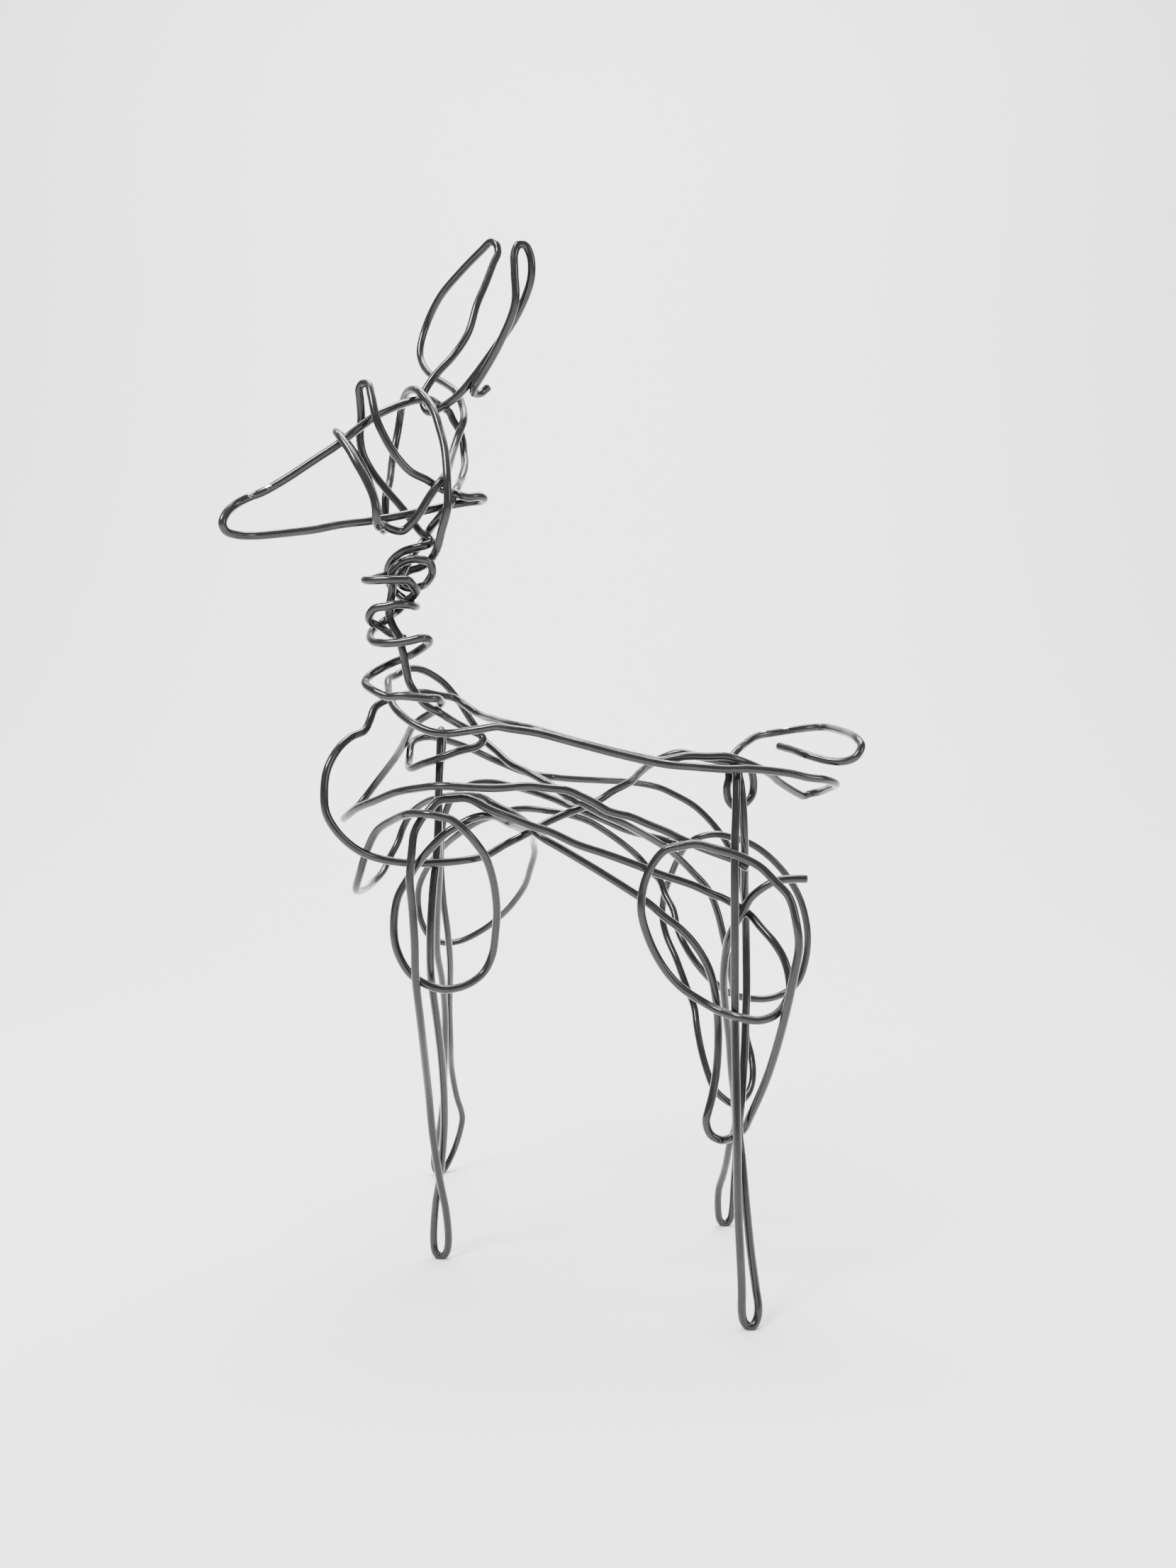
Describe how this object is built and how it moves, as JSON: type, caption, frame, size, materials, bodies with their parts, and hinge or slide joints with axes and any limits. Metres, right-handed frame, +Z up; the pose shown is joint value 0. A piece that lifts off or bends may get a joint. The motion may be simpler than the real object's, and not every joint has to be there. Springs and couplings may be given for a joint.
{
  "type": "wire sculpture",
  "caption": "Standing deer drawn in the air with bent and coiled black wire, on four bare feet that press flat on the surface it stands on.",
  "frame": {"origin": "on the surface it stands on, under the middle of the deer", "axes": "+Z up, the deer faces -X, its near side faces -Y"},
  "size_m": [0.1504, 0.113, 0.2673],
  "materials": {
    "black_wire": "glossy black coating on bent metal wire, with small chips and bare cut ends"
  },
  "bodies": {
    "root": {"head_and_neck_wire": "black_wire", "muzzle_and_legs_wire": "black_wire", "back_and_tail_wire": "black_wire"}
  },
  "joints": []
}
